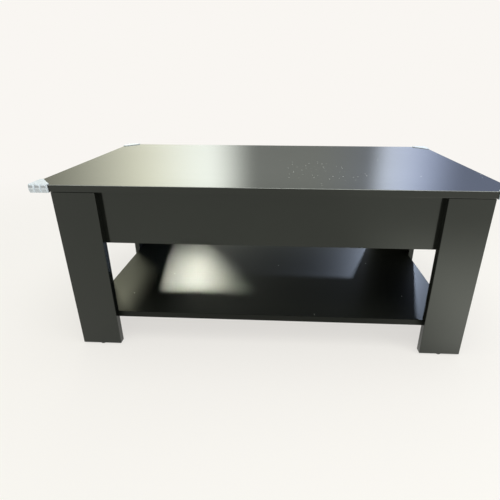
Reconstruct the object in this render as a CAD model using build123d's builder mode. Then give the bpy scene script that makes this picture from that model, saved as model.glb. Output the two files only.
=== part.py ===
from build123d import *
from dataclasses import dataclass
from math import cos, pi, radians, sin, sqrt
import os

# Lift top coffee table. X runs along its length, -Y faces the sitter, and Z rises from the floor.
# Millimetres and degrees, drawn with the top closed. The origin is on the floor under the middle.

# Overall
top_length = 980
top_depth = 480
overall_height = 405

# Boards
top_thickness = 15
panel_thickness = 15
shelf_thickness = 15
floor_thickness = 12
edge_round = 0.8

# Legs, storage box and shelf
end_overhang = 40
front_setback = 1
leg_face_width = 92
leg_side_width = 130
box_height = 121
floor_rise = 15
groove_depth = 6
groove_clearance = 0.2
shelf_height = 86

# Glides under the legs and bumpers under the top
glide_height = 3
glide_radius = 7
glide_chamfer = 1
nail_radius = 1.25
nail_length = 14
bumper_height = 1
bumper_radius = 5
bumper_round = 0.4

# Moulded guards on the corners of the top
guard_gap = 2
guard_wall = 2.2
guard_plate = 1.8
guard_tip = 7
guard_round = 3
guard_edge_round = 0.7
guard_pads = 3
guard_pad_height = 1.8
guard_pad_gap = 1.4
guard_pad_margin = 1.2
guard_pad_corner = 4
guard_pad_round = 1.6

# Cam locks, their bolts and the dowels beside them
cam_radius = 7.5
cam_skin = 2.5
cam_reach = 34
cam_slot_length = 9
cam_slot_width = 1.8
cam_slot_depth = 2
bolt_bore_radius = 4
bolt_radius = 3
bolt_neck_radius = 1.75
bolt_neck_length = 5
bolt_head_length = 4
bolt_end_gap = 1
thread_radius = 2.5
thread_length = 10
cam_edge_inset = 25
dowel_radius = 4
dowel_length = 30
dowel_face_depth = 10
dowel_edge_inset = 8
dowel_offset = 45
shelf_dowel_offset = 35

# Lift mechanism, the same on both ends
bracket_thickness = 2.5
arm_thickness = 3
arm_edge_round = 0.6
layer_gap = 0.5
arm_length = 220
arm_width = 22
closed_angle = 11
open_angle = 125
pivot_spacing = 90
front_pivot_setback = 69
top_pivot_drop = 20
bracket_boss = 12
base_flange = 24
base_toe = 20
top_flange = 30
top_toe = 18
bend_round = 2

# Rivets, washers and studs of the mechanism
pivot_radius = 4
pivot_clearance = 0.06
rivet_head_radius = 7
rivet_head_height = 1.5
rivet_head_gap = 0.2
rivet_round = 0.6
washer_radius = 8
washer_play = 0.1
spacer_radius = 7
stop_radius = 4
stop_boss = 8
stop_distance = 35
stop_clearance = 0.3
stud_radius = 3
stud_shoulder_radius = 4.5
stud_head_radius = 5
stud_head_height = 1.5

# Springs
spring_lever = 22
lever_width = 14
spring_anchor_reach = 235
spring_inset = 22
spring_turns = 24
coil_radius = 6.2
wire_radius = 1.1
hook_clearance = 0.6
hook_run = 4

# Bracket screws
screw_radius = 2
screw_clearance = 0.2
screw_bite = 10
screw_head_radius = 4
screw_head_height = 2.2
screw_head_round = 1
base_screws = 3
top_screws = 4
screw_end_inset = 15

# Heights of the structure
top_underside = overall_height - top_thickness
box_top = top_underside - bumper_height
box_bottom = box_top - box_height
floor_underside = box_bottom + floor_rise
floor_top = floor_underside + floor_thickness
shelf_underside = shelf_height - shelf_thickness
leg_height = box_top - glide_height

# Faces of the structure, as distances from the middle
leg_end_x = top_length / 2 - end_overhang
inner_x = leg_end_x - panel_thickness
side_middle_x = leg_end_x - panel_thickness / 2
leg_front_y = top_depth / 2 - front_setback
panel_outer_y = leg_front_y - panel_thickness
panel_inner_y = panel_outer_y - panel_thickness
side_edge_y = panel_outer_y - leg_side_width
side_middle_y = panel_outer_y - leg_side_width / 2
face_middle_x = leg_end_x - leg_face_width / 2

SIDES = (("left", -1), ("right", 1))
ENDS = (("front", -1), ("rear", 1))
CORNERS = [(f"{end}_{side}", sx, sy) for end, sy in ENDS for side, sx in SIDES]
ON_BASE = (Align.CENTER, Align.CENTER, Align.MIN)
HANGING = (Align.CENTER, Align.CENTER, Align.MAX)
DOWN = Vector(0, 0, -1)

os.makedirs("parts", exist_ok=True)


def save(piece, name):
    """Label a finished piece and write it under its own name."""
    piece.part.label = name
    export_step(piece.part, f"parts/{name}.step")


@dataclass
class BoardJoint:
    """Where two boards meet: a point on the meeting face, the way into the board that holds the cam,
    and the side of that board that the cam is turned from."""

    seat: Vector
    inward: Vector
    face: Vector

    def drilling(self):
        """The plane of the meeting face, seen from the board that takes the thread."""
        return Plane(origin=self.seat, x_dir=self.face, z_dir=self.inward)

    def cam_plane(self, thickness):
        """The plane of the cam's open face, with X towards the meeting face."""
        centre = self.seat + self.inward * cam_reach + self.face * (thickness / 2)
        return Plane(origin=centre, x_dir=self.inward * -1, z_dir=self.face)


def leg_joint(sx, sy, z):
    """A leg's face board on the edge of its side board."""
    point = Vector(sx * side_middle_x, sy * panel_outer_y, z)
    return BoardJoint(point, Vector(0, -sy, 0), Vector(-sx, 0, 0))


def panel_joint(sx, sy, z):
    """A long panel's end on the inner face of a side board."""
    middle_y = panel_outer_y - panel_thickness / 2
    return BoardJoint(Vector(sx * inner_x, sy * middle_y, z), Vector(-sx, 0, 0), Vector(0, -sy, 0))


def rail_joint(sx, sy, z):
    """An end rail's end on the inner edge of a side board."""
    return BoardJoint(Vector(sx * side_middle_x, sy * side_edge_y, z), Vector(0, -sy, 0), Vector(-sx, 0, 0))


def shelf_joint(sx, sy, y):
    """The shelf's end on the inner face of a side board."""
    middle_z = shelf_height - shelf_thickness / 2
    return BoardJoint(Vector(sx * inner_x, sy * y, middle_z), Vector(-sx, 0, 0), DOWN)


low_leg_z = (shelf_height + box_bottom) / 2
low_panel_z = floor_top + cam_edge_inset
high_panel_z = box_top - cam_edge_inset
high_leg_z = (low_panel_z + high_panel_z) / 2
dowel_z = box_bottom + dowel_edge_inset

leg_cams = {(sx, sy): [leg_joint(sx, sy, z) for z in (low_leg_z, high_leg_z)] for _, sx, sy in CORNERS}
leg_dowels = {
    (sx, sy): [leg_joint(sx, sy, z) for z in (low_leg_z + dowel_offset, high_leg_z - dowel_offset)]
    for _, sx, sy in CORNERS
}
panel_cams = {
    (sx, sy): [panel_joint(sx, sy, z) for z in (low_panel_z, high_panel_z)] for _, sx, sy in CORNERS
}
panel_dowels = {(sx, sy): [panel_joint(sx, sy, dowel_z)] for _, sx, sy in CORNERS}
rail_cams = {(sx, sy): [rail_joint(sx, sy, high_panel_z)] for _, sx, sy in CORNERS}
rail_dowels = {(sx, sy): [rail_joint(sx, sy, dowel_z)] for _, sx, sy in CORNERS}
shelf_cams = {(sx, sy): [shelf_joint(sx, sy, side_middle_y)] for _, sx, sy in CORNERS}
shelf_dowels = {(sx, sy): [shelf_joint(sx, sy, side_middle_y + shelf_dowel_offset)] for _, sx, sy in CORNERS}


def every(*groups):
    """All joints of some groups, in one list."""
    return [joint for group in groups for joints in group.values() for joint in joints]


def bore(planes, radius, depth):
    """Blind holes into the piece being made, each against its plane's Z."""
    with Locations(*planes):
        Hole(radius, depth)


def bore_for_cams(joints, thickness):
    """The cam's pocket and the long bore for its bolt."""
    bore([joint.cam_plane(thickness) for joint in joints], cam_radius, thickness - cam_skin)
    bore([-joint.drilling() for joint in joints], bolt_bore_radius, cam_reach)


def bore_for_bolts(joints):
    """The holes that the bolts are threaded into."""
    bore([joint.drilling() for joint in joints], thread_radius, thread_length)


def bore_for_dowels(joints, end_grain):
    """One half of each dowel's hole, in the end of a board or in a face."""
    planes = [-joint.drilling() if end_grain else joint.drilling() for joint in joints]
    bore(planes, dowel_radius, dowel_length - dowel_face_depth if end_grain else dowel_face_depth)


# The lift mechanism is drawn from the end: points are (y, z), depths are measured in from the end wall.

rear_arm_depth = bracket_thickness + layer_gap
top_web_depth = rear_arm_depth + arm_thickness + layer_gap
front_arm_depth = top_web_depth + bracket_thickness + layer_gap
front_arm_end = front_arm_depth + arm_thickness

arm_reach = arm_length * cos(radians(closed_angle))
arm_rise = arm_length * sin(radians(closed_angle))
swing = open_angle - closed_angle
top_pivot_z = top_underside - top_pivot_drop
base_pivot_z = top_pivot_z - arm_rise
front_pivot_y = front_pivot_setback - panel_inner_y
rear_pivot_y = front_pivot_y + pivot_spacing
spring_anchor_y = front_pivot_y + spring_anchor_reach
front_base = Vector(front_pivot_y, base_pivot_z)
rear_base = Vector(rear_pivot_y, base_pivot_z)
front_top = Vector(front_pivot_y + arm_reach, top_pivot_z)
rear_top = Vector(rear_pivot_y + arm_reach, top_pivot_z)


def polar(distance, angle):
    """A step of some length at some angle, in the end view."""
    return Vector(distance * cos(radians(angle)), distance * sin(radians(angle)))


# The lever stands as far before its lowest point when closed as past it when open, so the spring
# lies level at both ends of the travel.
lever_angle = 270 - swing / 2
arm_stud = rear_base + polar(spring_lever, lever_angle)
base_stud = Vector(spring_anchor_y, arm_stud.Y)
stop_offset = arm_width / 2 + stop_radius + stop_clearance
stop_pin = rear_base + polar(stop_distance, open_angle) + polar(stop_offset, open_angle + 90)

base_front_y = front_pivot_y - base_toe
base_rear_y = spring_anchor_y + base_toe
top_front_y = front_top.X - top_toe
top_rear_y = rear_top.X + top_toe
base_screw_depth = (bracket_thickness + base_flange) / 2
top_screw_depth = top_web_depth + (bracket_thickness + top_flange) / 2


def spread(first, last, count):
    """Evenly spaced places between two limits."""
    step = (last - first) / (count - 1)
    return [first + step * index for index in range(count)]


base_screw_ys = spread(base_front_y + screw_end_inset, base_rear_y - screw_end_inset, base_screws)
top_screw_ys = spread(top_front_y + screw_end_inset, top_rear_y - screw_end_inset, top_screws)
base_screw_points = [
    (sx * (inner_x - base_screw_depth), y, floor_top) for _, sx in SIDES for y in base_screw_ys
]
top_screw_points = [
    (sx * (inner_x - top_screw_depth), y, top_underside) for _, sx in SIDES for y in top_screw_ys
]


def end_view(sx, depth):
    """The drawing plane of one end, some depth in from the end wall: X is world Y, Y is world Z."""
    return Plane(origin=(sx * (inner_x - depth), 0, 0), x_dir=(0, 1, 0), z_dir=(1, 0, 0))


def disc(sx, points, depth, end_depth, radius, hole_radius=0):
    """Round pieces between two depths at points of the end view, with a hole where one is given."""
    with BuildSketch(end_view(sx, depth)) as outline:
        with Locations(*points):
            Circle(radius)
            if hole_radius:
                Circle(hole_radius, mode=Mode.SUBTRACT)
    extrude(outline.sketch, amount=-sx * (end_depth - depth))


# Top board

with BuildPart() as lift_top_panel:
    with Locations((0, 0, top_underside)):
        Box(top_length, top_depth, top_thickness, align=ON_BASE)
    fillet(lift_top_panel.edges(), edge_round)
    bore([Plane(origin=point, z_dir=DOWN) for point in top_screw_points], screw_radius, screw_bite)
save(lift_top_panel, "lift_top_panel")


# Corner guards: a triangular clip around the board's corner, with a row of soft pads on each outer wall

guard_leg = end_overhang - guard_gap
guard_length = guard_leg + guard_wall
guard_height = top_thickness + 2 * guard_plate
guard_pad_pitch = (guard_length - 2 * guard_pad_margin + guard_pad_gap) / guard_pads
guard_pad = (guard_pad_pitch - guard_pad_gap, guard_height - 2 * guard_pad_margin)

for corner, sx, sy in CORNERS:
    outer_x = sx * (top_length / 2 + guard_wall)
    outer_y = sy * (top_depth / 2 + guard_wall)
    tip_x = outer_x - sx * guard_length
    tip_y = outer_y - sy * guard_length
    middle_z = top_underside + top_thickness / 2
    middle_x = (outer_x + tip_x) / 2
    middle_y = (outer_y + tip_y) / 2
    long_wall = Plane(origin=(middle_x, outer_y, middle_z), x_dir=(1, 0, 0), z_dir=(0, sy, 0))
    short_wall = Plane(origin=(outer_x, middle_y, middle_z), x_dir=(0, 1, 0), z_dir=(sx, 0, 0))
    with BuildPart() as corner_guard:
        with BuildSketch(Plane.XY.offset(top_underside - guard_plate)):
            with BuildLine():
                Polyline(
                    (outer_x, outer_y),
                    (tip_x, outer_y),
                    (tip_x, outer_y - sy * guard_tip),
                    (outer_x - sx * guard_tip, tip_y),
                    (outer_x, tip_y),
                    close=True,
                )
            make_face()
        extrude(amount=guard_height)
        outer_edge = corner_guard.edges().filter_by(Axis.Z).sort_by_distance((outer_x, outer_y, middle_z))[0]
        fillet(outer_edge, guard_round)
        rims = corner_guard.faces().filter_by(Axis.Z)
        fillet(rims.edges(), guard_edge_round)
        with Locations((0, 0, top_underside)):
            Box(top_length, top_depth, top_thickness, align=ON_BASE, mode=Mode.SUBTRACT)
        for wall in (long_wall, short_wall):
            with BuildSketch(wall):
                with GridLocations(guard_pad_pitch, 0, guard_pads, 1):
                    RectangleRounded(*guard_pad, guard_pad_corner)
            extrude(amount=guard_pad_height)
            crowns = corner_guard.faces().sort_by(Axis(wall.origin, wall.z_dir))[-guard_pads:]
            fillet(crowns.edges(), guard_pad_round)
    save(corner_guard, f"corner_guard_{corner}")


# Legs, each an L of a face board and a side board

for corner, sx, sy in CORNERS:
    key = (sx, sy)
    face_foot = (sx * face_middle_x, sy * (leg_front_y - panel_thickness / 2), glide_height)
    with BuildPart() as leg_face:
        with Locations(face_foot):
            Box(leg_face_width, panel_thickness, leg_height, align=ON_BASE)
        fillet(leg_face.edges(), edge_round)
        bore([Plane(origin=face_foot, z_dir=DOWN)], nail_radius, nail_length)
        bore_for_bolts(leg_cams[key])
        bore_for_dowels(leg_dowels[key], end_grain=False)
    save(leg_face, f"leg_face_{corner}")

    side_foot = (sx * side_middle_x, sy * side_middle_y, glide_height)
    with BuildPart() as leg_side:
        with Locations(side_foot):
            Box(panel_thickness, leg_side_width, leg_height, align=ON_BASE)
        fillet(leg_side.edges(), edge_round)
        bore([Plane(origin=side_foot, z_dir=DOWN)], nail_radius, nail_length)
        bore_for_cams(leg_cams[key], panel_thickness)
        bore_for_dowels(leg_dowels[key], end_grain=True)
        bore_for_bolts(panel_cams[key] + rail_cams[key] + shelf_cams[key])
        bore_for_dowels(panel_dowels[key] + rail_dowels[key] + shelf_dowels[key], end_grain=False)
    save(leg_side, f"leg_side_{corner}")


# Storage box: two long panels behind the legs, two end rails between them and a grooved-in floor

for name, sy in (("front_panel", -1), ("back_panel", 1)):
    with BuildPart() as long_panel:
        with Locations((0, sy * (panel_outer_y - panel_thickness / 2), box_bottom)):
            Box(2 * inner_x, panel_thickness, box_height, align=ON_BASE)
        fillet(long_panel.edges(), edge_round)
        with Locations((0, sy * (panel_inner_y + groove_depth / 2), floor_underside)):
            groove_height = floor_thickness + groove_clearance
            Box(2 * inner_x, groove_depth, groove_height, align=ON_BASE, mode=Mode.SUBTRACT)
        for _, sx in SIDES:
            bore_for_cams(panel_cams[(sx, sy)], panel_thickness)
            bore_for_dowels(panel_dowels[(sx, sy)], end_grain=True)
    save(long_panel, name)

for side, sx in SIDES:
    with BuildPart() as end_rail:
        with Locations((sx * side_middle_x, 0, box_bottom)):
            Box(panel_thickness, 2 * side_edge_y, box_height, align=ON_BASE)
        fillet(end_rail.edges(), edge_round)
        for _, sy in ENDS:
            bore_for_cams(rail_cams[(sx, sy)], panel_thickness)
            bore_for_dowels(rail_dowels[(sx, sy)], end_grain=True)
    save(end_rail, f"end_rail_{side}")

with BuildPart() as compartment_floor:
    with Locations((0, 0, floor_underside)):
        floor_depth = 2 * (panel_inner_y + groove_depth - groove_clearance)
        Box(2 * inner_x, floor_depth, floor_thickness, align=ON_BASE)
    bore([Plane(origin=point, z_dir=(0, 0, 1)) for point in base_screw_points], screw_radius, screw_bite)
save(compartment_floor, "compartment_floor")

with BuildPart() as lower_shelf:
    with Locations((0, 0, shelf_underside)):
        Box(2 * inner_x, 2 * panel_outer_y, shelf_thickness, align=ON_BASE)
    fillet(lower_shelf.edges(), edge_round)
    bore_for_cams(every(shelf_cams), shelf_thickness)
    bore_for_dowels(every(shelf_dowels), end_grain=True)
save(lower_shelf, "lower_shelf")


# Fasteners of the boards, modelled once and set at each joint

def cam_lock(thickness):
    """A cam for a board of some thickness: its open face at the origin, its bolt's way in along X."""
    with BuildPart() as cam:
        Cylinder(cam_radius, thickness - cam_skin, align=HANGING)
        with Locations(Plane(origin=(cam_radius, 0, -thickness / 2), z_dir=(1, 0, 0))):
            Hole(bolt_bore_radius, cam_radius)
        with BuildSketch(Plane.XY):
            Rectangle(cam_slot_length, cam_slot_width)
            Rectangle(cam_slot_width, cam_slot_length)
        extrude(amount=-cam_slot_depth, mode=Mode.SUBTRACT)
    return cam.part


panel_cam = cam_lock(panel_thickness)
shelf_cam = cam_lock(shelf_thickness)

with BuildPart() as cam_locks:
    with Locations(*[joint.cam_plane(panel_thickness) for joint in every(leg_cams, panel_cams, rail_cams)]):
        add(panel_cam)
    with Locations(*[joint.cam_plane(shelf_thickness) for joint in every(shelf_cams)]):
        add(shelf_cam)
save(cam_locks, "cam_locks")

with BuildPart() as one_bolt:
    bolt_head_start = cam_reach - bolt_end_gap - bolt_head_length
    bolt_neck_start = bolt_head_start - bolt_neck_length
    with BuildSketch(Plane.XZ):
        with BuildLine():
            Polyline(
                (0, -thread_length),
                (thread_radius, -thread_length),
                (thread_radius, 0),
                (bolt_radius, 0),
                (bolt_radius, bolt_neck_start),
                (bolt_neck_radius, bolt_neck_start),
                (bolt_neck_radius, bolt_head_start),
                (bolt_radius, bolt_head_start),
                (bolt_radius, cam_reach - bolt_end_gap),
                (0, cam_reach - bolt_end_gap),
                close=True,
            )
        make_face()
    revolve(axis=Axis.Z)

with BuildPart() as cam_bolts:
    with Locations(*[joint.drilling() for joint in every(leg_cams, panel_cams, rail_cams, shelf_cams)]):
        add(one_bolt.part)
save(cam_bolts, "cam_bolts")

with BuildPart() as wood_dowels:
    dowelled = every(leg_dowels, panel_dowels, rail_dowels, shelf_dowels)
    with Locations(*[joint.drilling().offset(-dowel_face_depth) for joint in dowelled]):
        Cylinder(dowel_radius, dowel_length, align=ON_BASE)
save(wood_dowels, "wood_dowels")

with BuildPart() as one_glide:
    with BuildSketch(Plane.XZ):
        with BuildLine():
            Polyline(
                (0, 0),
                (glide_radius - glide_chamfer, 0),
                (glide_radius, glide_chamfer),
                (glide_radius, glide_height),
                (nail_radius, glide_height),
                (nail_radius, glide_height + nail_length),
                (0, glide_height + nail_length),
                close=True,
            )
        make_face()
    revolve(axis=Axis.Z)

with BuildPart() as foot_glides:
    for _, sx, sy in CORNERS:
        face_foot = (sx * face_middle_x, sy * (leg_front_y - panel_thickness / 2))
        side_foot = (sx * side_middle_x, sy * side_middle_y)
        with Locations(face_foot, side_foot):
            add(one_glide.part)
save(foot_glides, "foot_glides")

with BuildPart() as top_bumpers:
    with Locations(*[(sx * side_middle_x, sy * side_middle_y, box_top) for _, sx, sy in CORNERS]):
        Cylinder(bumper_radius, bumper_height, align=ON_BASE)
    fillet(top_bumpers.edges().group_by(Axis.Z)[-1], bumper_round)
save(top_bumpers, "top_bumpers")


# Lift mechanism

base_middle_y = (base_front_y + base_rear_y) / 2
base_length = base_rear_y - base_front_y
top_middle_y = (top_front_y + top_rear_y) / 2
top_bracket_length = top_rear_y - top_front_y


def round_outline(arm):
    """Soften the stamped edges round both faces of an arm."""
    faces = arm.faces().filter_by(Axis.X)
    fillet([edge for face in faces for edge in face.outer_wire().edges()], arm_edge_round)


for side, sx in SIDES:
    with BuildPart() as base_bracket:
        with BuildSketch(end_view(sx, 0)):
            with Locations(front_base, rear_base, base_stud):
                Circle(bracket_boss)
            with Locations(stop_pin):
                Circle(stop_boss)
            with Locations((base_middle_y, floor_top + bracket_thickness / 2)):
                Rectangle(base_length, bracket_thickness)
            make_hull()
            with Locations(front_base, rear_base):
                Circle(pivot_radius, mode=Mode.SUBTRACT)
            with Locations(stop_pin):
                Circle(stop_radius, mode=Mode.SUBTRACT)
            with Locations(base_stud):
                Circle(stud_radius, mode=Mode.SUBTRACT)
        extrude(amount=-sx * bracket_thickness)
        with Locations((sx * (inner_x - base_flange / 2), base_middle_y, floor_top)):
            Box(base_flange, base_length, bracket_thickness, align=ON_BASE)
        heel = (sx * inner_x, base_middle_y, floor_top)
        fillet(base_bracket.edges().filter_by(Axis.Y).sort_by_distance(heel)[0], bend_round)
        holes = [point for point in base_screw_points if point[0] * sx > 0]
        flange_face = floor_top + bracket_thickness
        bore(
            [Plane(origin=(x, y, flange_face), z_dir=(0, 0, 1)) for x, y, _ in holes],
            screw_radius + screw_clearance,
            bracket_thickness,
        )
    save(base_bracket, f"base_bracket_{side}")

    with BuildPart() as rear_arm:
        with BuildSketch(end_view(sx, rear_arm_depth)):
            with Locations((rear_base + rear_top) / 2):
                SlotCenterToCenter(arm_length, arm_width, rotation=closed_angle)
            with Locations((rear_base + arm_stud) / 2):
                SlotCenterToCenter(spring_lever, lever_width, rotation=lever_angle)
            with Locations(rear_base, rear_top):
                Circle(pivot_radius + pivot_clearance, mode=Mode.SUBTRACT)
            with Locations(arm_stud):
                Circle(stud_radius, mode=Mode.SUBTRACT)
        extrude(amount=-sx * arm_thickness)
        round_outline(rear_arm)
    save(rear_arm, f"rear_arm_{side}")

    with BuildPart() as front_arm:
        with BuildSketch(end_view(sx, front_arm_depth)):
            with Locations((front_base + front_top) / 2):
                SlotCenterToCenter(arm_length, arm_width, rotation=closed_angle)
            with Locations(front_base, front_top):
                Circle(pivot_radius + pivot_clearance, mode=Mode.SUBTRACT)
        extrude(amount=-sx * arm_thickness)
        round_outline(front_arm)
    save(front_arm, f"front_arm_{side}")

    with BuildPart() as top_bracket:
        with BuildSketch(end_view(sx, top_web_depth)):
            with Locations(front_top, rear_top):
                Circle(bracket_boss)
            with Locations((top_middle_y, top_underside - bracket_thickness / 2)):
                Rectangle(top_bracket_length, bracket_thickness)
            make_hull()
            with Locations(front_top, rear_top):
                Circle(pivot_radius, mode=Mode.SUBTRACT)
        extrude(amount=-sx * bracket_thickness)
        with Locations((sx * (inner_x - top_web_depth - top_flange / 2), top_middle_y, top_underside)):
            Box(top_flange, top_bracket_length, bracket_thickness, align=HANGING)
        heel = (sx * (inner_x - top_web_depth), top_middle_y, top_underside)
        fillet(top_bracket.edges().filter_by(Axis.Y).sort_by_distance(heel)[0], bend_round)
        holes = [point for point in top_screw_points if point[0] * sx > 0]
        flange_face = top_underside - bracket_thickness
        bore(
            [Plane(origin=(x, y, flange_face), z_dir=DOWN) for x, y, _ in holes],
            screw_radius + screw_clearance,
            bracket_thickness,
        )
    save(top_bracket, f"top_bracket_{side}")


# Rivets, washers, stops and studs, each set on both ends

def rivet(sx, point, tail_depth, neck_depth, head_way):
    """A rivet from its flush tail to the neck, with its head past the neck, inwards or outwards."""
    disc(sx, [point], tail_depth, neck_depth, pivot_radius)
    disc(sx, [point], neck_depth, neck_depth + head_way * rivet_head_height, rivet_head_radius)


def round_heads(piece, radius, amount):
    """Soften the rims of all heads of one radius."""
    rims = piece.edges().filter_by(GeomType.CIRCLE).filter_by(lambda rim: abs(rim.radius - radius) < 1e-6)
    fillet(rims, amount)


rear_arm_end = rear_arm_depth + arm_thickness
top_web_end = top_web_depth + bracket_thickness

with BuildPart() as base_pivots:
    for _, sx in SIDES:
        rivet(sx, rear_base, 0, rear_arm_end + rivet_head_gap, 1)
        rivet(sx, front_base, 0, front_arm_end + rivet_head_gap, 1)
    round_heads(base_pivots, rivet_head_radius, rivet_round)
save(base_pivots, "base_pivots")

with BuildPart() as top_pivots:
    for _, sx in SIDES:
        rivet(sx, rear_top, top_web_end, rear_arm_depth - rivet_head_gap, -1)
        rivet(sx, front_top, top_web_depth, front_arm_end + rivet_head_gap, 1)
    round_heads(top_pivots, rivet_head_radius, rivet_round)
save(top_pivots, "top_pivots")

with BuildPart() as base_washers:
    for _, sx in SIDES:
        disc(sx, [rear_base], bracket_thickness, rear_arm_depth - washer_play, washer_radius, pivot_radius)
save(base_washers, "base_washers")

with BuildPart() as front_spacers:
    for _, sx in SIDES:
        disc(sx, [front_base], bracket_thickness, front_arm_depth - washer_play, spacer_radius, pivot_radius)
save(front_spacers, "front_spacers")

with BuildPart() as top_washers:
    for _, sx in SIDES:
        disc(sx, [rear_top], rear_arm_end + washer_play, top_web_depth, washer_radius, pivot_radius)
        disc(sx, [front_top], top_web_end, front_arm_depth - washer_play, washer_radius, pivot_radius)
save(top_washers, "top_washers")

with BuildPart() as stop_pins:
    for _, sx in SIDES:
        disc(sx, [stop_pin], 0, rear_arm_end, stop_radius)
save(stop_pins, "stop_pins")

hook_near = spring_inset - wire_radius - hook_clearance
hook_far = spring_inset + wire_radius + hook_clearance


def spring_stud(sx, point, tail_depth, shoulder_depth):
    """A stud with a tail in its plate, a shoulder, a neck for the spring's hook and a head."""
    disc(sx, [point], tail_depth, shoulder_depth, stud_radius)
    disc(sx, [point], shoulder_depth, hook_near, stud_shoulder_radius)
    disc(sx, [point], hook_near, hook_far, stud_radius)
    disc(sx, [point], hook_far, hook_far + stud_head_height, stud_head_radius)


with BuildPart() as arm_studs:
    for _, sx in SIDES:
        spring_stud(sx, arm_stud, rear_arm_depth, rear_arm_end)
save(arm_studs, "arm_studs")

with BuildPart() as base_studs:
    for _, sx in SIDES:
        spring_stud(sx, base_stud, 0, bracket_thickness)
save(base_studs, "base_studs")


# Bracket screws

with BuildPart() as one_screw:
    Cylinder(screw_head_radius, screw_head_height, align=ON_BASE)
    fillet(one_screw.edges().sort_by(Axis.Z)[-1], screw_head_round)
    Cylinder(screw_radius, bracket_thickness + screw_bite, align=HANGING)

with BuildPart() as base_bracket_screws:
    with Locations(*[(x, y, z + bracket_thickness) for x, y, z in base_screw_points]):
        add(one_screw.part)
save(base_bracket_screws, "base_bracket_screws")

with BuildPart() as top_bracket_screws:
    planes = [Plane(origin=(x, y, z - bracket_thickness), z_dir=DOWN) for x, y, z in top_screw_points]
    with Locations(*planes):
        add(one_screw.part)
save(top_bracket_screws, "top_bracket_screws")


# Springs: one wire each, hooked over the lever's stud, coiled, and hooked over the bracket's stud

hook_radius = stud_radius + hook_clearance + wire_radius
spring_span = base_stud.X - arm_stud.X
coil_start = hook_run + coil_radius
coil_pitch = (spring_span - 2 * coil_start) / (spring_turns + 0.5)


def coil_node(half_turn):
    """A point of the coil and its direction, counted in half turns: along, up and in from the axis."""
    along = coil_start + coil_pitch * half_turn / 2
    sign = -1 if half_turn % 2 else 1
    way = Vector(coil_pitch / (2 * pi), -sign * coil_radius, 0).normalized()
    return Vector(along, 0, sign * coil_radius), way


def biarc(start, start_way, end, end_way):
    """Two arcs that leave a point one way and reach another point another way, smooth in between."""
    across = end - start
    ways = start_way + end_way
    spare = 2 * (1 - start_way.dot(end_way))
    reach = (sqrt(across.dot(ways) ** 2 + spare * across.dot(across)) - across.dot(ways)) / spare
    corner = start + start_way * reach
    far_corner = end - end_way * reach
    middle = (corner + far_corner) / 2
    TangentArc(start, middle, tangent=start_way)
    TangentArc(middle, end, tangent=far_corner - corner)


def spring_line(sx):
    """The line of one spring's wire, drawn from the tip of one hook to the tip of the other."""

    def place(local):
        return Vector(sx * (inner_x - spring_inset - local.Z), arm_stud.X + local.X, arm_stud.Y + local.Y)

    def turn(local):
        return Vector(-sx * local.Z, local.X, local.Y)

    def hook(post, way):
        """The points of a hook round a post, from its free tip to the coil."""
        return [
            place(Vector(post + way * along, up, 0))
            for along, up in (
                (hook_run, -hook_radius),
                (0, -hook_radius),
                (-hook_radius, 0),
                (0, hook_radius),
                (hook_run, hook_radius),
            )
        ]

    tip, under, behind, over, leave = hook(0, 1)
    far_tip, far_under, far_behind, far_over, far_leave = hook(spring_span, -1)
    along = turn(Vector(1, 0, 0))
    coil = [coil_node(half_turn) for half_turn in range(2 * spring_turns + 2)]
    nodes = [(leave, along), *[(place(point), turn(way)) for point, way in coil], (far_leave, along)]
    with BuildLine() as line:
        Line(tip, under)
        ThreePointArc(under, behind, over)
        Line(over, leave)
        for (start, start_way), (end, end_way) in zip(nodes, nodes[1:]):
            biarc(start, start_way, end, end_way)
        Line(far_leave, far_over)
        ThreePointArc(far_over, far_behind, far_under)
        Line(far_under, far_tip)
    return line


def least_gap(line):
    """The least clear distance between stretches of the wire more than a half turn apart along it."""
    samples = 6
    points = [edge @ (index / samples) for edge in line.edges() for index in range(samples)]
    half_turn = 2 * samples
    gaps = [
        (point - other).length
        for index, point in enumerate(points)
        for other in points[index + half_turn :]
    ]
    return min(gaps) - 2 * wire_radius


with BuildPart() as lift_springs:
    for side, sx in SIDES:
        line = spring_line(sx)
        with BuildSketch(Plane(origin=line.edges()[0] @ 0, z_dir=line.edges()[0] % 0)):
            Circle(wire_radius)
        sweep(path=line.wires()[0])
        print(f"{side} spring, least gap of its wire to itself: {least_gap(line):.2f} mm")
save(lift_springs, "lift_springs")
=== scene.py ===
"""Finishes, springs, screws and studio of a black lift top coffee table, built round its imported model."""

from math import cos, pi, radians, sin

import bpy
from bpy.props import FloatProperty, FloatVectorProperty, IntProperty, PointerProperty
from mathutils import Matrix, Vector


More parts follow.
